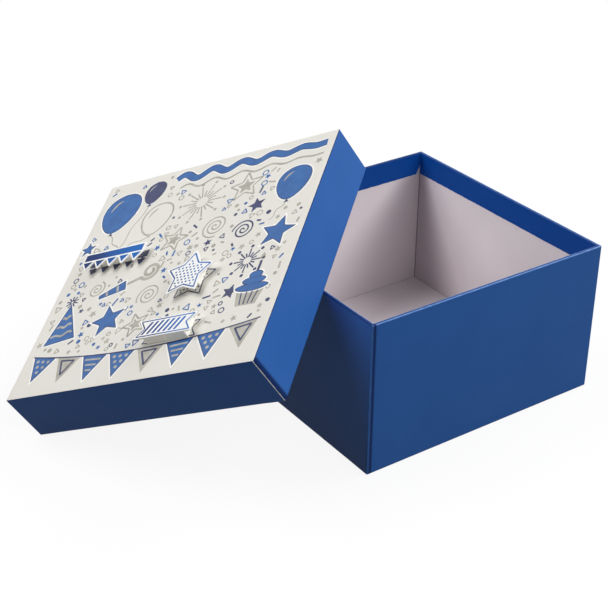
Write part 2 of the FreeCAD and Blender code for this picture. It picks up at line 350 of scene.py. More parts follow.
class Finish(Tree):
    """A material: what is fixed stands on its shader's own sockets, and what varies comes from its nodes."""

    def __init__(self, name, **fixed):
        self.material = bpy.data.materials.new(name)
        super().__init__(self.material)
        self.shader = self.found("BSDF_PRINCIPLED")
        for words, value in fixed.items():
            self.drive(words.replace("_", " "), value)
        self.place = self.node("ShaderNodeTexCoord", output="Object")

    def drive(self, name, value):
        """Sets a socket of the shader, found by its name in any case."""
        socket = next(socket for socket in self.shader.inputs if socket.name.lower() == name.lower())
        self.feed(socket, value)

    def along(self, origin, direction):
        """How far a place lies from an origin along a direction: place . direction - origin . direction."""
        direction = tuple(float(part) for part in direction)
        sockets = {0: self.place, 1: direction}
        reach = self.node("ShaderNodeVectorMath", {"operation": "DOT_PRODUCT"}, sockets, output="Value")
        return reach - float(np.dot(origin, direction))

    def clouds(self, size, detail=2.0, stretch=(1.0, 1.0, 1.0)):
        """Soft noise from 0 to 1, whose patches are about size across, in millimetres."""
        scale = tuple(1.0 / (MM * size * part) for part in stretch)
        place = self.node("ShaderNodeMapping", {}, {"Vector": self.place, "Scale": scale})
        return self.node("ShaderNodeTexNoise", {}, {"Vector": place, "Scale": 1.0, "Detail": detail})

    def cells(self, size):
        """The distance, from 0 to about 1, to the middle of the nearest cell of about size, in
        millimetres."""
        sockets = {"Vector": self.place, "Scale": 1.0 / (MM * size)}
        return self.node("ShaderNodeTexVoronoi", {}, sockets, output="Distance")

    def attribute(self, name):
        return self.node("ShaderNodeAttribute", {"attribute_name": name}, output="Fac")

    def finished(self, base, rough, *layers):
        """The material with its colour, its roughness and its bumps, of which each layer is a height from
        0 to 1 and its depth in millimetres."""
        self.drive("base color", base)
        self.drive("roughness", rough)
        normal = None
        for height, depth in layers:
            sockets = {"Height": height, "Distance": depth * MM, "Strength": 1.0}
            if normal:
                sockets["Normal"] = normal
            normal = self.node("ShaderNodeBump", {}, sockets)
        self.drive("normal", normal)
        return self.material


def colour(red, green, blue):
    """A colour written from 0 to 255 as a screen shows it, in the linear numbers that a shader takes."""
    shown = np.array([red, green, blue]) / 255
    linear = np.where(shown <= 0.04045, shown / 12.92, ((shown + 0.055) / 1.055) ** 2.4)
    return (*linear.tolist(), 1.0)


# Finishes


def satin_paper():
    """Laminated blue paper: faint clouds and fibres, a deeper blue on its hem inside as painted shade, paler
    on its folds from scuffing and as painted highlight, darkest where painted shade is laid, and white where
    it is cut."""
    finish = Finish("satin_blue_paper", specular_ior_level=0.07)
    clouds = finish.clouds(size=28, detail=3)
    fibres = finish.clouds(size=0.5, detail=4)
    scuffs = finish.clouds(size=2.6, detail=3).ramp(0.35, 0.68)
    blue = finish.blend(clouds, colour(46, 97, 171), colour(53, 105, 181))
    # Painted shade: the hem that is turned in is painted a deeper, purer blue, for the white reflection it
    # lacks inside.
    blue = finish.blend(finish.attribute("hem"), blue, colour(15, 73, 155))
    # Painted shade from the shade mark: beside the lap, on the rim's mitres and lines, and along the closed
    # face's edge.
    painted_shade_blue = finish.blend(finish.attribute("shade"), blue, colour(6, 37, 92))
    # Paler on the folds, from scuffing and as painted highlight.
    scuffed_and_lit_blue = finish.blend(finish.attribute("fold") * (0.3 + 0.35 * scuffs), painted_shade_blue, colour(146, 178, 226))
    cut = (finish.attribute("cut") + 0.5 * scuffs - 0.25).ramp(0.45, 0.65)
    base = finish.blend(cut, scuffed_and_lit_blue, colour(236, 236, 232))
    return finish.finished(base, 0.33 + 0.14 * fibres, (clouds, 0.05), (fibres, 0.004))


def lined_board(tray):
    """Pale lining paper on board: mottled towards mauve, with fine fibres and flecks.

    It is dark in the joints between a half's boards, where two of the three inner faces are within reach:
    there the middle one of the distances past them is near 0. Up each corner it has a wedge of painted shade,
    which spreads with the depth below the hem, and further along the front and back boards than along the
    sides, as the light falls.
    """
    finish = Finish(f"{tray.name}_lined_board", specular_ior_level=0.2)
    origin, (across, deep, up) = tray.axes.origin, tray.axes.directions
    inner, floor = WALL - PAPER, SHEET + WALL - PAPER
    past_x = abs(finish.along(origin, across)) - MM * (tray.half_x - inner)
    past_y = abs(finish.along(origin, deep)) - MM * (tray.half_y - inner)
    rise = finish.along(origin, up)
    past_z = MM * floor - rise
    middle = past_x.smaller(past_y).larger(past_z.smaller(past_x.larger(past_y)))
    slit = past_x.smaller(past_y).ramp(-JOINT_START * MM, -JOINT_FULL * MM)
    joint = slit.larger(FLOOR_JOINT * middle.ramp(-JOINT_START * MM, -JOINT_FULL * MM))
    # Painted shade in a wedge up each corner, wider along the front and back boards.
    spread = MM * (DUSK_TOP + DUSK_SLOPE * (tray.height - TURN_IN)) - DUSK_SLOPE * rise
    painted_corner_shade = (past_x * -1.0).larger(past_y * -DUSK_SIDES).ramp(spread, spread * DUSK_FULL)
    mottle = finish.clouds(size=22, detail=4)
    fibres = finish.clouds(size=0.7, detail=5, stretch=(1.0, 1.0, 0.25))
    flecks = finish.cells(size=1.7).ramp(0.16, 0.08)
    tone = finish.blend(mottle, colour(233, 223, 226), colour(239, 232, 233))
    tone = finish.blend(fibres.ramp(0.45, 0.75) * 0.35, tone, colour(236, 231, 231))
    tone = finish.blend(flecks * 0.2, tone, colour(186, 175, 178))
    tone = finish.blend(painted_corner_shade * DUSK_DEPTH, tone, colour(128, 115, 125))
    base = finish.blend(joint * JOINT_DEPTH, tone, colour(92, 80, 86))
    return finish.finished(base, 0.72 + 0.2 * fibres, (fibres, 0.012), (mottle, 0.03))


def pearl_sheet():
    """Off-white coated sheet with a faint pearl fleck and a smooth, barely uneven face."""
    finish = Finish("pearl_sheet", specular_ior_level=0.4)
    mottle = finish.clouds(size=30, detail=3)
    grain = finish.clouds(size=0.4, detail=4)
    fleck = finish.cells(size=0.9).ramp(0.2, 0.05)
    tone = finish.blend(mottle, colour(221, 218, 210), colour(227, 225, 218))
    base = finish.blend(fleck * 0.35, tone, colour(240, 239, 235))
    return finish.finished(base, 0.42 + 0.16 * grain - 0.1 * fleck, (grain, 0.003), (mottle, 0.02))


def matt_blue_paper():
    """Uncoated blue paper under the base, rubbed paler in streaks."""
    finish = Finish("matt_blue_paper", specular_ior_level=0.2)
    rubbed = finish.clouds(size=9, detail=5, stretch=(1.0, 3.0, 1.0))
    fibres = finish.clouds(size=0.6, detail=4)
    blue = finish.blend(fibres, colour(34, 84, 158), colour(44, 98, 174))
    base = finish.blend(rubbed.ramp(0.56, 0.8) * 0.4, blue, colour(120, 150, 196))
    return finish.finished(base, 0.62 + 0.2 * fibres, (fibres, 0.008))


def kraft_tape():
    """Brown gummed tape with long fibres."""
    finish = Finish("kraft_tape", specular_ior_level=0.2)
    fibres = finish.clouds(size=0.8, detail=5, stretch=(1.0, 1.0, 6.0))
    base = finish.blend(fibres, colour(166, 128, 88), colour(198, 162, 118))
    return finish.finished(base, 0.7 + 0.2 * fibres, (fibres, 0.02))


def white_card():
    """Bright white card with a soft grain."""
    finish = Finish("white_card", specular_ior_level=0.3)
    grain = finish.clouds(size=0.5, detail=4)
    base = finish.blend(grain, colour(240, 240, 238), colour(250, 250, 249))
    return finish.finished(base, 0.5 + 0.2 * grain, (grain, 0.004))


def pale_foam():
    """Closed-cell foam: small round cells, with painted shade in their hollows, and a faint painted glow
    that lightens its shaded sides."""
    # Painted glow: the foam gives off light of its own, which lightens its shaded sides.
    finish = Finish("pale_foam", specular_ior_level=0.15, emission_strength=FOAM_GLOW)
    finish.drive("emission color", colour(250, 246, 230))
    cells = finish.cells(size=0.42)
    patches = finish.clouds(size=3.5, detail=3)
    # Painted shade in the cells' hollows.
    painted_hollow_shade = cells.ramp(0.45, 0.1)
    tone = finish.blend(patches, colour(242, 240, 231), colour(250, 249, 243))
    base = finish.blend(painted_hollow_shade * 0.3, tone, colour(206, 203, 193))
    return finish.finished(base, 0.82 + 0.12 * patches, (cells, 0.07))


def ink(name, deep, bright, metal, rough):
    """Printed ink or foil: uneven cover between two shades, with pinholes in its gloss."""
    finish = Finish(f"{name}_ink", specular_ior_level=0.35, metallic=metal)
    cover = finish.clouds(size=6, detail=4)
    grain = finish.clouds(size=0.3, detail=3)
    base = finish.blend(cover.ramp(0.3, 0.7), deep, bright)
    return finish.finished(base, rough + 0.15 * grain, (grain, 0.003))


def foil(name, near, far, deep, bright):
    """Hot-stamped foil that runs from a deep shade to a bright one between two places of the part's
    frame."""
    finish = Finish(f"{name}_foil", specular_ior_level=0.1, metallic=0.35)
    run = far - near
    along = finish.along(near, run / (run @ run))
    grain = finish.clouds(size=0.35, detail=3)
    sweep = (along + 0.3 * (finish.clouds(size=5, detail=2) - 0.5)).ramp(0.05, 0.85)
    base = finish.blend(sweep, deep, bright)
    return finish.finished(base, 0.24 + 0.14 * grain, (grain, 0.004))


# Shapes, as arrays of points and faces


def unit(vectors):
    return vectors / np.linalg.norm(vectors, axis=-1, keepdims=True)


def leftward(ahead):
    """Flat directions, each turned a quarter to the left: (x, y) becomes (-y, x)."""
    return np.stack([-ahead[:, 1], ahead[:, 0]], 1)


def round_points(angle, reach=1.0):
    """reach * (cos a, sin a)."""
    return np.reshape(reach, (-1, 1)) * np.column_stack([np.cos(angle), np.sin(angle)])


def rounded(corners, reach, closed=True, support=0.0):
    """A line with rounded corners. Each corner C becomes the parabola (1-t)^2 A + 2t(1-t) C + t^2 B from
    A, at reach before the corner, to B, at reach past it. support puts one more point before A and one
    past B."""
    corners = np.asarray(corners, float)
    before = unit(np.roll(corners, 1, 0) - corners)[:, None]
    after = unit(np.roll(corners, -1, 0) - corners)[:, None]
    middle = corners[:, None]
    share = np.linspace(0, 1, ROUNDING_STEPS + 1)[:, None]
    start, end = middle + reach * before, middle + reach * after
    arcs = (1 - share) ** 2 * start + 2 * share * (1 - share) * middle + share**2 * end
    if support:
        arcs = np.concatenate([start + support * before, arcs, end + support * after], axis=1)
    if closed:
        return arcs.reshape(-1, corners.shape[1])
    first = np.concatenate([middle[0], middle[0] + support * after[0]])
    last = np.concatenate([middle[-1] + support * before[-1], middle[-1]])
    return np.concatenate([first, arcs[1:-1].reshape(-1, corners.shape[1]), last])


def counter_clockwise(outline):
    following = np.roll(outline, -1, 0)
    area = np.sum(outline[:, 0] * following[:, 1] - outline[:, 1] * following[:, 0])
    return outline if area > 0 else outline[::-1]


def inset(outline, depth):
    """A counter-clockwise outline drawn in by depth: each point moves along the sum of the normals of its
    two sides, divided by 1 + their product, which keeps both sides at that depth."""
    normals = leftward(unit(np.roll(outline, -1, 0) - outline))
    earlier = np.roll(normals, 1, 0)
    product = np.sum(normals * earlier, axis=1, keepdims=True)
    return outline + depth * (normals + earlier) / (1 + product)


def ring_walls(rows, columns, closed_rows=False):
    """Quads between neighbouring rings of points, each ring closed on itself."""
    number = np.arange(rows * columns).reshape(rows, columns)
    upper = np.roll(number, -1, 0) if closed_rows else number[1:]
    lower = number if closed_rows else number[:-1]
    quads = [lower, np.roll(lower, -1, 1), np.roll(upper, -1, 1), upper]
    return np.stack(quads, -1).reshape(-1, 4)


def stacked(rings):
    """A closed solid of rings one after another, with a flat face on the first and on the last."""
    rows, columns = rings.shape[:2]
    last = np.arange((rows - 1) * columns, rows * columns)
    return rings.reshape(-1, 3), [ring_walls(rows, columns), np.arange(columns)[None, ::-1], last[None]]


def at_level(flat, level):
    """Points, or numbers, each with one more number at its end, which is the same for all."""
    return np.column_stack([flat, np.full(len(flat), level)])


def plate(outline, low, high):
    """A flat closed plate: the outline at its low and its high level, and the wall between."""
    outline = counter_clockwise(outline)
    return stacked(np.array([at_level(outline, level) for level in (low, high)]))


def band(path, width, low, high, closed=False):
    """A flat band along a path: a level rectangle, half the width to each side, carried along it."""
    ahead = np.roll(path, -1, 0) - np.roll(path, 1, 0) if closed else np.gradient(path, axis=0)
    left = leftward(unit(ahead)) * np.reshape(width, (-1, 1)) / 2
    sides = ((path + left, low), (path + left, high), (path - left, high), (path - left, low))
    rings = np.stack([at_level(side, level) for side, level in sides], axis=1)
    if closed:
        return rings.reshape(-1, 3), [ring_walls(*rings.shape[:2], closed_rows=True)]
    return stacked(rings)


def joined(parts):
    """Several closed shapes as one: their points in a row, and their faces counted on from there."""
    starts = np.cumsum([0] + [len(points) for points, _ in parts])
    points = np.concatenate([points for points, _ in parts])
    groups = [group + start for start, (_, groups) in zip(starts, parts) for group in groups]
    return points, [face for group in groups for face in group.tolist()]


def outward_faces(points, faces):
    """The faces as they are, or all turned round if the volume inside them comes out negative."""
    corners = points[np.array(faces)]
    tips = np.cross(corners[:, 1] - corners[:, 0], corners[:, 2] - corners[:, 0])
    tips += np.cross(corners[:, 2] - corners[:, 0], corners[:, 3] - corners[:, 0])
    volume = np.sum(tips * (corners[:, 0] - points.mean(0)))
    return faces if volume > 0 else [face[::-1] for face in faces]


def add_object(name, data):
    """A new object at the origin, in the scene."""
    made = bpy.data.objects.new(name, data)
    bpy.context.scene.collection.objects.link(made)
    return made


def make_piece(name, points, faces, material, body, marks=None):
    """A named piece with its place in its mesh, which rides on a body and takes its finish from a slot.
    Each of its marks is a number at every point."""
    mesh = bpy.data.meshes.new(name)
    mesh.from_pydata(points.tolist(), [], faces)
    for key, values in (marks or {}).items():
        mesh.attributes.new(key, "FLOAT", "POINT").data.foreach_set("value", values.ravel())
    mesh.shade_smooth()
    mesh.set_sharp_from_angle(angle=SHARP_ANGLE)
    mesh.materials.append(material)
    piece = add_object(name, mesh)
    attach(piece, body)
    return piece


class SquareWay:
    """The way round a rounded rectangle, counter-clockwise: corner k turns from 90k to 90k + 90 degrees,
    and side k runs on from it to the next corner. Points on a side stand at the stations, measured from
    both its ends."""

    SIGNS = np.array([(1, 1), (-1, 1), (-1, -1), (1, -1), (1, 1)], float)

    def __init__(self, half_x, half_y, radius, stations):
        self.half = np.array([half_x, half_y])
        self.radius = radius
        stations = np.asarray(stations, float)
        turn = np.linspace(0, 1, ROUNDING_STEPS + 1)
        lengths = 2 * (self.half[[0, 1, 0, 1]] - radius)
        gaps = [np.concatenate([0 * turn, stations, length - stations[::-1]]) for length in lengths]
        self.corner = np.repeat(np.arange(4), len(gaps[0]))
        self.gap = np.concatenate(gaps)
        self.to_end = lengths[self.corner] - self.gap
        self.share = (self.gap / lengths[self.corner])[:, None]
        self.on_side = self.share[:, 0] > 0
        self.turn = np.tile(np.append(turn, np.ones(2 * len(stations))), 4)
        self.direction = round_points(np.pi / 2 * (self.corner + self.turn))
        self.sign = (1 - self.share) * self.SIGNS[self.corner] + self.share * self.SIGNS[self.corner + 1]

    def points(self, depth, height):
        """sign * (half - depth - r) + r * direction, where r is the radius less the depth, or CREASE_RADIUS
        where that is larger."""
        radius = np.maximum(self.radius - depth, CREASE_RADIUS)[..., None]
        flat = self.sign * (self.half - depth[..., None] - radius) + radius * self.direction
        return np.concatenate([flat, height[..., None]], axis=-1)

    def from_corner(self, corner):
        """The distance past the middle of a corner on its arc and the side after it, and minus the
        distance to it before it."""
        half_arc = np.pi / 4 * self.radius
        distance = np.full(len(self.corner), FAR)
        before = self.on_side & (self.corner == (corner - 1) % 4)
        after = self.on_side & (self.corner == corner)
        arc = ~self.on_side & (self.corner == corner)
        distance[before] = -half_arc - self.to_end[before]
        distance[arc] = half_arc * (2 * self.turn[arc] - 1)
        distance[after] = half_arc + self.gap[after]
        return distance

    def corner_fold(self):
        """1 in the middle of a rounded corner, 0 from its ends on."""
        return np.where(self.on_side, 0.0, np.sin(np.pi * self.turn))


# The box


def notch_lift(way):
    """How far the inner hem's edge rises: a V at each end of the front and back sides, to nothing
    elsewhere."""
    nearest = np.minimum(way.gap, way.to_end)
    rise = NOTCH_HEIGHT * np.clip(1 - nearest / NOTCH_WIDTH, 0, 1)
    front_or_back = np.where(way.on_side, way.corner % 2 == 0, (way.corner % 2 == 0) == (way.turn > 0.5))
    return np.where(front_or_back, np.where(way.on_side, rise, NOTCH_HEIGHT), 0.0)


def wrap_way(tray):
    """The way round a half, with stations where the lap's cut edge and the painted shade beside it begin and
    end.
    """
    seam = np.array([tray.lap_end, tray.lap_cut, tray.lap_cut + CUT_FADE, *tray.lap_shade[2:]]) - HALF_CORNER
    plain = [SUPPORT, NOTCH_WIDTH, LAP_UNDER, LAP_UNDER + LAP_EASE, SIDE_STATION]
    return SquareWay(tray.half_x, tray.half_y, CORNER_RADIUS, sorted([*seam[seam > SUPPORT], *plain]))


def wrap_section(tray):
    """The paper's shown side and its glued side, in depth from the outer face and height: each runs from
    the hem on the closed face, up the wall, over the rim and down inside."""
    hem = tray.height - TURN_IN
    front = rounded([(TURN_UNDER, SHEET), *tray.folds, (WALL, hem)], FOLD_RADIUS, False, SUPPORT)
    glued = tray.folds + PAPER * np.array([(1, 1), (1, -1), (-1, -1)])
    ends = (TURN_UNDER, SHEET + PAPER), (WALL - PAPER, hem)
    back = rounded([ends[0], *glued, ends[1]], FOLD_RADIUS - PAPER, False, SUPPORT)
    return front, back


def near_fold(front, fold):
    """1 up to half of FOLD_MARK_REACH from a fold of a section, and down to 0 at all of it."""
    return np.clip(2 * (1 - np.linalg.norm(front - fold, axis=1) / FOLD_MARK_REACH), 0, 1)


def rim_zones(tray, front):
    """How much each point of a section belongs to each row of RIM_WEAR_AND_HIGHLIGHT."""
    on_rim = front[:, 1] > tray.height - PAPER
    outer_fold = near_fold(front, tray.folds[1])
    outer_part = on_rim * np.interp(front[:, 0], OUTER_SPLIT, [1, 0]) * (1 - outer_fold)
    inner_edge = on_rim * np.interp(front[:, 0], INNER_SPLIT, [0, 1])
    rest = on_rim * (1 - outer_fold) - outer_part - inner_edge
    return np.stack([outer_fold, outer_part, rest, inner_edge], axis=1)


def wrap_marks(tray, way, front, past_lap):
    """The shown side's marks, each a number at every point: fold is how pale it is from scuffing and as
    painted highlight, cut is the white edge of the strip's upper end, shade is how deep the painted shade is
    beside the lap, on the mitres, on the rim and along the edges, and hem is 1 on what is turned in."""
    outside = (front[:, 0] < WALL / 2)[:, None]
    on_rim = (front[:, 1] > tray.height - PAPER)[:, None]
    on_hem = (front[:, :1] > WALL - PAPER) & ~on_rim
    at_cut = np.abs(past_lap - tray.lap_end - LAP_CUT / 2) < CUT_HALF
    zones = rim_zones(tray, front)
    side_wear_and_highlight = RIM_WEAR_AND_HIGHLIGHT[:, way.corner] * way.turn + RIM_WEAR_AND_HIGHLIGHT[:, way.corner - 1] * (1 - way.turn)
    # Painted shade along the closed face's edge, and on the rim where it has no painted highlight.
    closed_edge = EDGE_SHADE * near_fold(front, tray.folds[0])[:, None]
    lines = np.maximum(RIM_SHADE * zones @ (1 - side_wear_and_highlight), closed_edge)
    # Painted shade: a dark strip beside the lap, and dark mitres on the rim's corners.
    strip = outside * np.interp(past_lap, tray.lap_shade, [0, 1, 1, 0])
    painted_lap_mitre_shade = np.maximum(strip, MITRE_SHADE * on_rim * way.corner_fold())
    # Paler on the rim and the corners, from scuffing and as painted highlight, set side by side as the light
    # falls.
    wear_and_highlight = np.maximum(zones @ side_wear_and_highlight, CORNER_WEAR_AND_HIGHLIGHT * outside * way.corner_fold())
    return {
        "fold": wear_and_highlight * (1 - painted_lap_mitre_shade),
        "cut": tray.cut_shown * outside * at_cut,
        "shade": np.maximum(painted_lap_mitre_shade, lines),
        "hem": on_hem + np.zeros(len(way.corner)),
    }


def wrap_piece(tray, material):
    """The paper round a half: its section, carried round the half's outline. The upper end of the strip
    stands proud of the lower one as far as the lap reaches, but not on the closed face, where the sheet
    presses it flat."""
    way = wrap_way(tray)
    front, back = wrap_section(tray)
    past_lap = tray.lap_way * way.from_corner(tray.lap_corner)
    lap_places = [-LAP_UNDER - LAP_EASE, -LAP_UNDER, tray.lap_end, tray.lap_cut]
    lap = LAP_RISE * np.interp(past_lap, lap_places, [0, 1, 1, 0])
    proud = leftward(unit(np.gradient(front, axis=0)))
    proud *= np.clip((front[:, 1:] - SHEET) / FOLD_RADIUS, 0, 1)
    section = np.concatenate([front[:, :, None] + proud[:, :, None] * lap, back[::-1, :, None] + 0 * lap])
    depth, height = section[:, 0], section[:, 1]
    hem_edge = len(front)
    height[hem_edge - 2 : hem_edge + 2] += notch_lift(way)
    points = tray.axes.place(way.points(depth, height))

    rows, columns = depth.shape
    glued = np.zeros((len(back), columns))
    shown = wrap_marks(tray, way, front, past_lap)
    marks = {key: np.concatenate([values, glued]) for key, values in shown.items()}
    marks["cut"][[0, -1, hem_edge - 1, hem_edge]] = 1.0
    faces = outward_faces(points, ring_walls(rows, columns, closed_rows=True).tolist())
    piece = make_piece(f"{tray.name}_wrap_paper", points, faces, material, tray.name, marks)
    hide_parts(f"{tray.name}_wrap")


def lid_solid(node, kind, rings, material):
    """A solid of rings on the lid's face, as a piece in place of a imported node."""
    points, faces = joined([stacked(rings)])
    piece = make_piece(f"{node}_{kind}", LID_FACE.place(points), faces, material, "lid")
    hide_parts(node)
    return piece


def sheet_piece(material):
    """The lid's printed sheet: flat, and drawn down round its edge. At d in from the edge, as far as the
    curve reaches, it lies lower by drop * (1 - d / reach)^2."""
    way = SquareWay(LID.half_x - SHEET_MARGIN, LID.half_y - SHEET_MARGIN, CORNER_RADIUS, [SIDE_STATION])
    curve = np.linspace(0, SHEET_CURVE, SHEET_ROWS)
    depth = np.append(0, curve)[:, None] + np.zeros(len(way.corner))
    height = -SHEET_DROP * (1 - depth / SHEET_CURVE) ** 2
    height[0] = -SHEET
    lid_solid("lid_top_sheet", "paper", way.points(depth, height), material)


def foam_piece(node, material, draws):
    """A foam pad: the pad's outline drawn in by a sine of the height, most at half height, and by random
    pores."""
    low, high = LID_FACE.measure(node)
    half = (high - low) / 2
    stations = np.linspace(FOAM_CORNER + FOAM_GAP, half[:2].min() - FOAM_GAP, FOAM_STATIONS)
    way = SquareWay(half[0], half[1], FOAM_CORNER, stations)
    share = np.linspace(0, 1, FOAM_ROWS)[:, None]
    edge = FOAM_EDGE * np.abs(2 * share - 1) ** FOAM_EDGE_POWER
    pores = FOAM_PORES * draws.random((FOAM_ROWS, len(way.corner)))
    depth = FOAM_WAIST * np.sin(np.pi * share) + edge + pores
    rings = way.points(depth, low[2] + (high[2] - low[2]) * share + 0 * depth)
    rings[..., :2] += ((low + high) / 2)[:2]
    lid_solid(node, "foam", rings, material)


def bunting_corners(half):
    """A straight band over a row of pennants."""
    step = 2 * half[0] / PENNANTS
    low = half[1] - BUNTING_BAND
    place = np.arange(PENNANTS)
    tops = at_level(step * place - half[0], low)
    tips = at_level(step * (place + 0.5) - half[0], -half[1])
    row = np.stack([tops, tips], axis=1).reshape(-1, 2)
    return np.concatenate([[(half[0], half[1]), (-half[0], half[1])], row, [(half[0], low)]])


def star_corners(radius, waist, turn=0.0):
    """Points and waists in turn, 36 degrees apart."""
    angle = np.pi / 2 + turn + np.pi / STAR_POINTS * np.arange(2 * STAR_POINTS)
    return round_points(angle, np.tile([radius, waist], STAR_POINTS))


def ribbon_corners(half):
    """A ribbon with a swallow-tail at each end."""
    x, y = half[:2]
    tail = x - RIBBON_TAIL
    return np.array([(x, y), (-x, y), (-tail, 0), (-x, -y), (x, -y), (tail, 0)])


def card_piece(node, corners, material):
    """A die-cut card: its rounded outline, drawn in a little at its lower and its upper face."""
    low, high = LID_FACE.measure(node)
    outline = rounded(corners, CARD_ROUND)
    under, over = low[2], high[2]
    levels = ((CARD_BEVEL, under), (0, under + CARD_BEVEL), (0, over - CARD_BEVEL), (CARD_BEVEL, over))
    rings = np.array([at_level(inset(outline, depth), level) for depth, level in levels])
    lid_solid(node, "card", rings, material)


# Ink


class Press:
    """Ink on one level of the lid: plates and bands, gathered by ink until each ink becomes one piece.
    What lies over other ink has more layers. taken holds the places that confetti keeps clear of, each
    with its room."""

    def __init__(self, level):
        self.level = level
        self.laid = {}
        self.taken = np.empty((0, 3))

    def keep_clear(self, points, room):
        points = np.reshape(points, (-1, 2))
        self.taken = np.concatenate([self.taken, at_level(points, room)])

    def is_clear(self, place, room):
        return np.all(np.hypot(*(self.taken[:, :2] - place).T) > self.taken[:, 2] + room)

    def plate(self, ink_name, outline, layers=1):
        part = plate(outline, self.level, self.level + layers * INK_LAYER)
        self.laid.setdefault(ink_name, []).append(part)

    def keyed(self, ink_name, corners, reach=0.0):
        """A plate of ink, rounded at its corners, inside a line of the darkest ink and a white halo."""
        corners = counter_clockwise(np.asarray(corners))
        rings = (
            ("white", -HALO, reach + HALO, HALO_LAYERS),
            ("navy", 0, reach, LINE_LAYERS),
            (ink_name, KEYLINE, reach / 2, FILL_LAYERS),
        )
        for ring_ink, depth, turn, layers in rings:
            ring = inset(corners, depth)
            self.plate(ring_ink, rounded(ring, turn) if reach else ring, layers)

    def keyed_band(self, ink_name, path, width):
        """A band of ink inside a line of the darkest ink and a white halo."""
        self.band("white", path, width + 2 * HALO, HALO_LAYERS)
        self.band("navy", path, width, LINE_LAYERS)
        self.band(ink_name, path, width - 2 * KEYLINE, FILL_LAYERS)

    def band(self, ink_name, path, width, layers=1, closed=False):
        part = band(np.asarray(path, float), width, self.level, self.level + layers * INK_LAYER, closed)
        self.laid.setdefault(ink_name, []).append(part)

    def motif(self, ink_name, corners, line, reach=0.0):
        """A shape as its ink is printed: an outline in silver, keyed in blue, and plain in the others."""
        outline = rounded(corners, reach) if reach else corners
        if ink_name == "silver":
            self.band("silver", outline, line, closed=True)
        elif ink_name == "blue":
            self.keyed("blue", corners, reach)
        else:
            self.plate(ink_name, outline)

    def finish(self, prefix, materials):
        for ink_name, parts in self.laid.items():
            points, faces = joined(parts)
            points = LID_FACE.place(points)
            make_piece(f"{prefix}_{ink_name}", points, faces, materials[ink_name], "lid")


def turned(points, angle, place):
    """Points turned about their origin, then moved to a place."""
    spin = np.array([(math.cos(angle), math.sin(angle)), (-math.sin(angle), math.cos(angle))])
    return np.asarray(points) @ spin + place


def oval(width, height, taper=0.0, points=40):
    """x = w/2 sin a (1 + taper cos a), y = h/2 cos a."""
    angle = np.linspace(0, 2 * np.pi, points, endpoint=False)
    across = width / 2 * np.sin(angle) * (1 + taper * np.cos(angle))
    return np.column_stack([across, height / 2 * np.cos(angle)])


def wavy(start, end, swing, waves, points=90):
    """A straight run with a sine across it, which dies out towards its start."""
    share = np.linspace(0, 1, points)[:, None]
    run = np.subtract(end, start)
    across = np.array([-run[1], run[0]]) / np.hypot(*run)
    return start + share * run + swing * np.sqrt(share) * np.sin(2 * np.pi * waves * share) * across


def spiral(radius, turns, least=0.04, start=0.0, points=110):
    """The radius grows evenly with the angle, from a least share of it to all of it."""
    share = np.linspace(0, 1, points)
    angle = start + 2 * np.pi * turns * share
    return round_points(angle, radius * (least + (1 - least) * share))


def pennant(press, place, slope, width, drop, kind):
    """A pennant that hangs from the middle of its upper edge: with dots, a smaller outline or stripes."""
    corners = turned([(-width / 2, 0), (0, -drop), (width / 2, 0)], slope, place)
    rows = drop * np.array([0.17, 0.38, 0.59])
    dot, dot_pitch, stripe, stripe_margin, frame_depth, frame_width = 2.3, 4.5, 1.3, 1.7, 2.6, 1.3
    if kind == "framed":
        press.plate("silver", rounded(corners, reach=0.5))
        outline = rounded(inset(counter_clockwise(corners), frame_depth), reach=0.4)
        press.band("navy", outline, frame_width, LINE_LAYERS, closed=True)
        return
    press.keyed("blue", corners, reach=0.5)
    for row, level in enumerate(rows):
        if kind == "dotted":
            spots = np.arange(3 - row)
            centres = at_level(dot_pitch * (spots - spots.mean()), -level)
            for centre in turned(centres, slope, place):
                press.plate("silver", oval(dot, dot, points=18) + centre, TOP_LAYERS)
        else:
            reach = width / 2 * (1 - level / drop) - stripe_margin
            line = turned([(-reach, -level), (reach, -level)], slope, place)
            press.band("silver", line, stripe, TOP_LAYERS)


def garland(press):
    """Pennants along a string at the front edge. The string is a parabola, and each pennant turns with
    its slope."""
    count, end, height, sag, width, drop = 8, 84.0, -58.5, 8.0, 19.0, 19.0
    along = np.linspace(-end, end, 80)
    string = np.column_stack([along, height - sag * (1 - (along / end) ** 2)])
    press.band("navy", string, width=1.0, layers=LINE_LAYERS)
    press.keep_clear(string - [0, drop / 2], room=drop / 2 + 1.5)
    press.keep_clear(string - [0, drop], room=drop / 2)
    pitch = 2 * end / count
    for number in range(count):
        x = pitch * (number + 0.5) - end
        place = x, height - sag * (1 - (x / end) ** 2)
        kind = PENNANT_KINDS[number % len(PENNANT_KINDS)]
        pennant(press, place, math.atan(2 * sag * x / end**2), width, drop, kind)


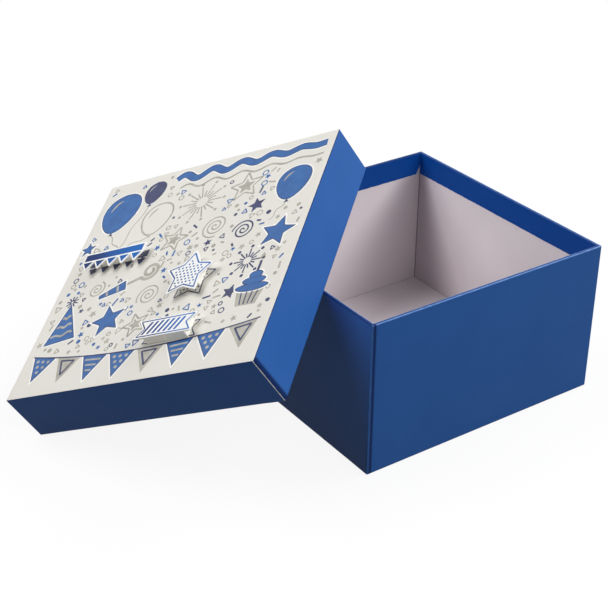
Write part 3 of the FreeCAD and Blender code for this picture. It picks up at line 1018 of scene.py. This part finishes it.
def balloon(press, ink_name, place, width, height, tie):
    """A balloon with its knot, a glint and a wavy string down to where it is tied. The glint is a stretch
    of an oval, whose width grows and shrinks as a sine."""
    knot_half, knot_rise, knot_drop, string_gap, string_points = 1.7, 0.6, 2.1, 1.5, 8
    glint_points, glint_tip, glint_width, glint_reach = 14, 0.25, 0.06, np.array([0.33, 0.36])
    foot = np.subtract(place, (0, height / 2))
    knot = foot + [(0, knot_rise), (-knot_half, -knot_drop), (knot_half, -knot_drop)]
    press.band("silver", wavy(foot - (0, string_gap), tie, swing=1.4, waves=1.5), width=0.7)
    press.motif(ink_name, oval(width, height, taper=0.2, points=56) + place, line=1.3)
    press.plate("silver" if ink_name == "silver" else "navy", knot, LINE_LAYERS)
    arc = round_points(np.radians(np.linspace(105, 165, glint_points))) * glint_reach * [width, height]
    swell = np.sin(np.linspace(glint_tip, np.pi - glint_tip, glint_points))
    press.band("silver", arc + place, glint_width * width * swell, TOP_LAYERS)
    press.keep_clear(place + height / 5 * np.array([(0, 1), (0, -1)]), room=width / 2 + 1.5)
    press.keep_clear(np.linspace(foot, tie, string_points), room=2.0)


def party_hat(press, place, turn):
    """A cone with wavy stripes and a tuft of rays."""
    width, height, stripes, stripe_margin = 24.0, 32.0, (6.0, 13.0, 20.0), 1.6
    tuft, ray_near, ray_far = (0, height + 1.4), 0.9, 4.8
    press.keyed("blue", turned([(-width / 2, 0), (width / 2, 0), (0, height)], turn, place), reach=0.8)
    for level in stripes:
        reach = width / 2 * (1 - level / height) - stripe_margin
        wave = wavy((-reach, level), (reach, level), swing=1.3, waves=1.5, points=30)
        press.band("silver", turned(wave, turn, place), width=1.7, layers=TOP_LAYERS)
    for ahead in round_points(np.radians(np.linspace(-60, 240, 9))):
        ray = np.outer((ray_near, ray_far), ahead)
        press.band("navy", turned(ray + tuft, turn, place), width=1.0, layers=LINE_LAYERS)
    press.keep_clear(turned([(-5, 6.0), (5, 6.0), (0, 16.0)], turn, place), room=8)
    press.keep_clear(turned([(0, 26.0), (0, 33.0)], turn, place), room=5)


def party_horn(press, place, turn):
    """A tapered mouthpiece with two rings, and a paper tongue that rolls up at its end as a spiral."""
    length, narrow, wide, ring_margin, tongue, roll = 20.0, 1.7, 4.2, 0.8, 11.0, 7.0
    cone = [(-length, -narrow), (0, -wide), (0, wide), (-length, narrow)]
    press.keyed("blue", turned(cone, turn, place), reach=0.7)
    for x in (-0.7 * length, -0.3 * length):
        half = narrow + (wide - narrow) * (1 + x / length) - ring_margin
        press.band("silver", turned([(x, -half), (x, half)], turn, place), width=1.6, layers=TOP_LAYERS)
    curl = spiral(roll, turns=-1.6, least=0.25, start=-1.7 * np.pi)[::-1]
    curl = curl - curl[0] + (tongue, 0)
    path = np.concatenate([np.linspace((0, 0), (tongue, 0), 8)[:-1], curl])
    press.band("silver", turned(path, turn, place), width=2.4)
    press.keep_clear(turned(np.linspace((-length, 0), (tongue + roll, 0), 8), turn, place), room=5)
    press.keep_clear(turned([(tongue, roll), (tongue, -roll)], turn, place), room=roll + 1)


def cupcake(press, place):
    """A pleated cup, three swirls of icing that get smaller, and a candle with its flame."""
    top, foot, height, pleat, swirl = 9.5, 6.8, 11.0, 0.9, 6.4
    cup = np.array([(-top, height), (-foot, 0), (foot, 0), (top, height)])
    press.plate("silver", rounded(cup, reach=0.6) + place)
    for share in (-0.6, -0.2, 0.2, 0.6):
        line = np.array([(foot * share, pleat), (top * share, height - pleat)]) + place
        press.band("navy", line, pleat, LINE_LAYERS)
    for level, width in ((13.5, 23.0), (18.5, 16.5), (23.0, 9.5)):
        press.keyed("blue", oval(width, swirl, taper=0.1) + place + (0, level))
    press.band("navy", np.array([(0, 26.0), (0, 34.0)]) + place, width=1.8, layers=LINE_LAYERS)
    press.plate("silver", oval(width=3.0, height=5.0, taper=-0.35, points=24) + place + (0, 37.5))
    press.keep_clear(np.linspace((0, 3), (0, 22), 4) + place, room=10)
    press.keep_clear(np.linspace((0, 27), (0, 38), 3) + place, room=3)


def burst(press, ink_name, place, radius, count):
    """Rays from a ring outwards, long and short in turn, with a dot at the end of each long one."""
    near, short, dot, dot_gap = 0.3 * radius, 0.68 * radius, 2.4, 2.1
    for number, ahead in enumerate(round_points(2 * np.pi * np.arange(count) / count)):
        is_long = number % 2 == 0
        press.band(ink_name, place + np.outer([near, radius if is_long else short], ahead), width=1.0)
        if is_long:
            press.plate(ink_name, oval(dot, dot, points=16) + place + (radius + dot_gap) * ahead)
    press.keep_clear(place, room=radius + 3.5)


def star_mark(press, ink_name, place, radius, turn):
    """A star. In silver, a smaller full one stands inside its outline."""
    reach = 0.08 * radius
    press.motif(ink_name, star_corners(radius, 0.45 * radius, turn) + place, line=1.2, reach=reach)
    if ink_name == "silver":
        inner = star_corners(0.55 * radius, 0.25 * radius, turn) + place
        press.plate("silver", rounded(inner, reach / 2))
    press.keep_clear(place, room=0.85 * radius)


def curl_mark(press, ink_name, place, radius, turns):
    press.band(ink_name, spiral(radius, turns) + place, width=1.1)
    press.keep_clear(place, room=radius + 1.0)


def confetti(press, draws, tries=2600):
    """Small dots, bars, rings, triangles and stars at random places, each where nothing else lies within
    its room."""
    line, bar_half, silver_share, navy_share = 0.8, 0.7, 0.6, 0.22
    for _ in range(tries):
        place = draws.uniform(-CONFETTI_MARGIN, CONFETTI_MARGIN, 2)
        size = draws.uniform(1.3, 2.5)
        turn = draws.uniform(0, np.pi)
        shape = CONFETTI_SHAPES[draws.integers(0, len(CONFETTI_SHAPES))]
        shade = draws.random()
        if not press.is_clear(place, 1.2 * size):
            continue
        dark = "navy" if shade < silver_share + navy_share else "blue"
        ink_name = "silver" if shade < silver_share else dark
        if shape == "dot":
            press.plate(ink_name, oval(1.5 * size, 1.5 * size, points=16) + place)
        elif shape == "bar":
            end = 1.2 * size
            bar = [(-end, -bar_half), (end, -bar_half), (end, bar_half), (-end, bar_half)]
            press.plate(ink_name, turned(rounded(bar, reach=0.4), turn, place))
        elif shape == "ring":
            press.band(ink_name, oval(1.8 * size, 1.8 * size, points=24) + place, line, closed=True)
        elif shape == "triangle":
            triangle = [(-1.1 * size, -0.6 * size), (1.1 * size, -0.6 * size), (0, 1.2 * size)]
            press.band(ink_name, turned(rounded(triangle, reach=0.3), turn, place), line, closed=True)
        else:
            press.plate(ink_name, rounded(star_corners(1.3 * size, 0.6 * size, turn), reach=0.1) + place)
        press.keep_clear(place, room=1.1 * size)


def lid_print(press, draws):
    """The party print: a garland in front, balloons and a hat on the left, streamers at the back, a cake
    on the right, and curls, bursts, stars and confetti between them."""
    bunch, single = (-56.0, 24.0), (62.0, 21.0)
    balloons = (
        ("blue", (-69.0, 60.0), 30.0, 36.0, bunch),
        ("navy", (-45.5, 73.0), 16.5, 20.5, bunch),
        ("silver", (-33.0, 46.0), 23.0, 28.0, bunch),
        ("blue", (70.0, 50.0), 24.0, 29.0, single),
    )
    stars = (
        ("blue", (-35.0, -38.0), 13.0, 0.3),
        ("blue", (-83.0, 31.0), 6.5, 0.1),
        ("blue", (72.0, 9.0), 13.0, -0.15),
        ("silver", (33.0, 57.0), 12.5, 0.15),
        ("silver", (-9.0, 22.0), 10.5, -0.2),
        ("silver", (-10.0, -46.0), 9.5, 0.4),
        ("navy", (48.0, 37.0), 6.5, 0.3),
        ("navy", (54.0, -34.0), 6.0, -0.2),
    )
    curls = (
        ("navy", (45.0, 17.0), 8.0, 2.5),
        ("silver", (21.0, 26.0), 9.5, 2.8),
        ("silver", (-10.0, -23.0), 8.5, 2.6),
        ("silver", (-57.0, -9.0), 6.5, 2.2),
    )
    garland(press)
    for ink_name, place, width, height, tie in balloons:
        balloon(press, ink_name, place, width, height, tie)
    party_hat(press, (-69.0, -49.0), turn=0.14)
    party_horn(press, (-33.0, -10.0), turn=0.35)
    cupcake(press, (69.0, -47.0))
    streamer = wavy((85.0, 80.5), (-30.0, 80.5), swing=3.2, waves=5.0, points=140)
    press.keyed_band("blue", streamer, width=6.0)
    press.keep_clear(streamer, room=4.5)
    streamer = wavy((85.0, 71.0), (-24.0, 71.0), swing=2.4, waves=5.0, points=140)
    press.band("silver", streamer, width=1.6)
    press.keep_clear(streamer, room=2.5)
    for ink_name, place, radius, turn in stars:
        star_mark(press, ink_name, place, radius, turn)
    burst(press, "silver", (1.0, 52.0), radius=15.0, count=20)
    burst(press, "navy", (58.0, -11.0), radius=9.5, count=16)
    for ink_name, place, radius, turns in curls:
        curl_mark(press, ink_name, place, radius, turns)
    confetti(press, draws)


def bunting_foil(press, ink_name, centre, half):
    """A stripe over a row of pennants."""
    margin, stripe_foot, flag_top, flag_tip, flag_gap = 1.1, 0.9, 0.3, 1.8, 1.2
    (x, y), (half_x, half_y) = centre, half
    side, low, high = half_x - margin, stripe_foot, half_y - margin
    stripe = np.array([(-side, low), (side, low), (side, high), (-side, high)]) + centre
    press.plate(ink_name, rounded(stripe, reach=0.4))
    step = 2 * half_x / PENNANTS
    reach = step / 2 - flag_gap
    for middle in step * (np.arange(PENNANTS) + 0.5) - half_x + x:
        tip = middle, y - half_y + flag_tip
        flag = [(middle - reach, y - flag_top), tip, (middle + reach, y - flag_top)]
        press.plate(ink_name, rounded(flag, reach=0.3))


def star_foil(press, ink_name, centre, corners):
    """A framed star full of dots, whose rows are shifted by half a pitch in turn."""
    frame_depth, frame_width, dots_depth, dot_size, pitch = 1.5, 0.9, 3.1, 1.35, 2.7
    press.band(ink_name, rounded(inset(corners, frame_depth), reach=0.4), frame_width, closed=True)
    count, row_share = np.arange(-7, 8), 0.86
    rows = np.stack(np.meshgrid(count, count), -1).reshape(-1, 2).astype(float)
    dots = centre + pitch * (rows + 0.5 * (rows[:, 1:] % 2) * [1, 0]) * [1, row_share]
    for dot in dots[inside(dots, inset(corners, dots_depth))]:
        press.plate(ink_name, oval(dot_size, dot_size, points=14) + dot)


def ribbon_foil(press, ink_name, centre, half, corners):
    """A framed ribbon of slanting stripes."""
    frame_depth, frame_width, end_gap, lean, half_width = 1.3, 0.8, 2.6, 2.4, 0.9
    first, last, pitch = -13.0, 13.1, 3.9
    press.band(ink_name, rounded(inset(corners, frame_depth), reach=0.4), frame_width, closed=True)
    high = half[1] - end_gap
    for middle in np.arange(first, last, pitch) + centre[0]:
        low_x, high_x = middle - lean, middle + lean
        stroke = [(low_x - half_width, -high), (low_x + half_width, -high)]
        stroke += [(high_x + half_width, high), (high_x - half_width, high)]
        press.plate(ink_name, rounded(stroke, reach=0.25) + (0, centre[1]))


def tag_print(press, tags, inks):
    """The three tags' patterns, each in its tag's ink."""
    bunting, star, ribbon = tags["bunting"], tags["star"], tags["ribbon"]
    bunting_foil(press, inks["bunting"], *bunting[:2])
    star_foil(press, inks["star"], star[0], star[2])
    ribbon_foil(press, inks["ribbon"], *ribbon)


def inside(points, outline):
    """Which points lie inside an outline: those from which a level ray crosses it an odd number of times."""
    start, end = outline, np.roll(outline, -1, 0)
    spans = (start[:, 1] > points[:, 1:]) != (end[:, 1] > points[:, 1:])
    rise = np.where(end[:, 1] == start[:, 1], 1.0, end[:, 1] - start[:, 1])
    crossing = start[:, 0] + (points[:, 1:] - start[:, 1]) * (end[:, 0] - start[:, 0]) / rise
    return np.sum(spans & (points[:, :1] < crossing), axis=1) % 2 == 1


def tag_outlines():
    """Each tag's centre, half size and die-cut corners on the lid's face, from its packed card."""
    found = {}
    for name in ("bunting", "star", "ribbon"):
        low, high = LID_FACE.measure(f"tag_{name}")
        centre, half = ((low + high) / 2)[:2], ((high - low) / 2)[:2]
        if name == "star":
            radius = half[0] / math.sin(2 * math.pi / STAR_POINTS)
            centre[1] = high[1] - radius
            corners = star_corners(radius, STAR_WAIST)
        elif name == "bunting":
            corners = bunting_corners(half)
        else:
            corners = ribbon_corners(half)
        found[name] = centre, half, counter_clockwise(corners + centre)
    return found


def dress_lid(draws):
    """The tags with their pads and foil, and the print on the sheet under and round them."""
    tags = tag_outlines()
    card, foam = white_card(), pale_foam()
    foils = {}
    for name, (centre, half, corners) in tags.items():
        card_piece(f"tag_{name}", corners, card)
        for hand in ("left", "right"):
            foam_piece(f"tag_{name}_pad_{hand}", foam, draws)
        ends = LID_FACE.place(np.array([[*(centre - half), 0.0], [*(centre + half * [1.0, 0.4]), 0.0]]))
        foils[name] = foil(f"tag_{name}", ends[0], ends[1], colour(18, 38, 92), colour(10, 94, 172))

    card_press = Press(LID_FACE.measure("tag_star")[1][2])
    tag_print(card_press, tags, {name: name for name in tags})
    card_press.finish("foil", foils)

    sheet_press = Press(0.0)
    tag_print(sheet_press, tags, dict.fromkeys(tags, "navy"))
    for centre, half, corners in tags.values():
        sheet_press.keep_clear(rounded(corners, CARD_ROUND), room=2.0)
        sheet_press.keep_clear(centre, half.min())
    lid_print(sheet_press, draws)
    inks = {
        "blue": ink("blue", colour(16, 82, 148), colour(30, 95, 162), metal=0.0, rough=0.36),
        "navy": ink("navy", colour(28, 34, 76), colour(40, 50, 98), metal=0.0, rough=0.32),
        "white": ink("white", colour(240, 240, 238), colour(249, 249, 247), metal=0.0, rough=0.4),
        "silver": ink("silver", colour(150, 147, 137), colour(172, 169, 159), metal=0.2, rough=0.36),
    }
    sheet_press.finish("print", inks)


# The stage


def paint(nodes, material):
    """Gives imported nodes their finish."""
    for node in nodes:
        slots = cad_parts[node].material_slots
        for slot in slots:
            slot.material = material


def pale_stage():
    """A floor that is seen white beyond the box's shadow, and a little less than white within it, so that
    it keeps the shadow. It throws back little of the light that falls on it."""
    material = bpy.data.materials.new("pale_floor")
    tree = Tree(material)
    seen = tree.seen()
    place = tree.node("ShaderNodeTexCoord", output="Object")
    reach = tree.node("ShaderNodeVectorMath", {"operation": "LENGTH"}, {0: place}, "Value")
    far = reach.ramp(SHADOW_NEAR, SHADOW_FAR)
    shade = tree.blend(seen, (*3 * [FLOOR_SHADE], 1.0), (1.0, 1.0, 1.0, 1.0))
    matt = tree.node("ShaderNodeBsdfDiffuse", {}, {"Color": shade})
    white = tree.node("ShaderNodeEmission")
    share = seen * (FLOOR_WHITE + (1 - FLOOR_WHITE) * far)
    mixed = tree.node("ShaderNodeMixShader", {}, {0: share, 1: matt, 2: white})
    tree.feed(tree.found("OUTPUT_MATERIAL").inputs["Surface"], mixed)
    tree.nodes.remove(tree.found("BSDF_PRINCIPLED"))
    return material


def lay_floor():
    """A wide level floor just under the box."""
    low = -0.1 * MM
    corners = [(x * FLOOR_REACH, y * FLOOR_REACH, low) for x, y in ((-1, -1), (1, -1), (1, 1), (-1, 1))]
    mesh = bpy.data.meshes.new("floor")
    mesh.from_pydata(corners, [], [(0, 1, 2, 3)])
    mesh.materials.append(pale_stage())
    floor = add_object("floor", mesh)


def soft_light(name, direction, power):
    lamp = bpy.data.lights.new(name, "AREA")
    lamp.shape = "DISK"
    lamp.size = LAMP_SIZE
    lamp.energy = power
    ahead = Vector(direction).normalized()
    light = add_object(name, lamp)
    light.location = Vector(LAMP_TARGET) + LAMP_DISTANCE * ahead
    light.rotation_euler = ahead.to_track_quat("Z", "Y").to_euler()


def light_world():
    """White to the camera and in reflections, and a dim even fill for the rest."""
    world = bpy.data.worlds.new("studio")
    bpy.context.scene.world = world
    tree = Tree(world)
    back = tree.found("BACKGROUND")
    tree.feed(back.inputs["Color"], (1.0, 1.0, 1.0, 1.0))
    tree.feed(back.inputs["Strength"], WORLD_FILL + (1 - WORLD_FILL) * tree.seen())


def aim_camera():
    camera = add_object("camera", bpy.data.cameras.new("camera"))
    camera.data.lens = CAMERA_LENS
    camera.data.sensor_width = CAMERA_SENSOR
    camera.location = CAMERA_PLACE
    camera.rotation_euler = [math.radians(angle) for angle in CAMERA_TURN]
    bpy.context.scene.camera = camera


def main():
    bpy.context.scene.view_settings.view_transform = "Standard"
    aim_camera()
    lay_floor()
    light_world()
    for name, (direction, power) in LAMPS.items():
        soft_light(name, direction, power)

    paper, tape = satin_paper(), kraft_tape()
    names = list(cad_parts)
    for tray in (BASE, LID):
        wrap_piece(tray, paper)
        own = [name for name in names if name.startswith(tray.name)]
        paint([name for name in own if name.endswith("_board")], lined_board(tray))
        paint([name for name in own if "_corner_stay_" in name], tape)
    paint(["base_bottom_sheet"], matt_blue_paper())
    sheet_piece(pearl_sheet())
    dress_lid(np.random.default_rng(DRAWS_SEED))


main()
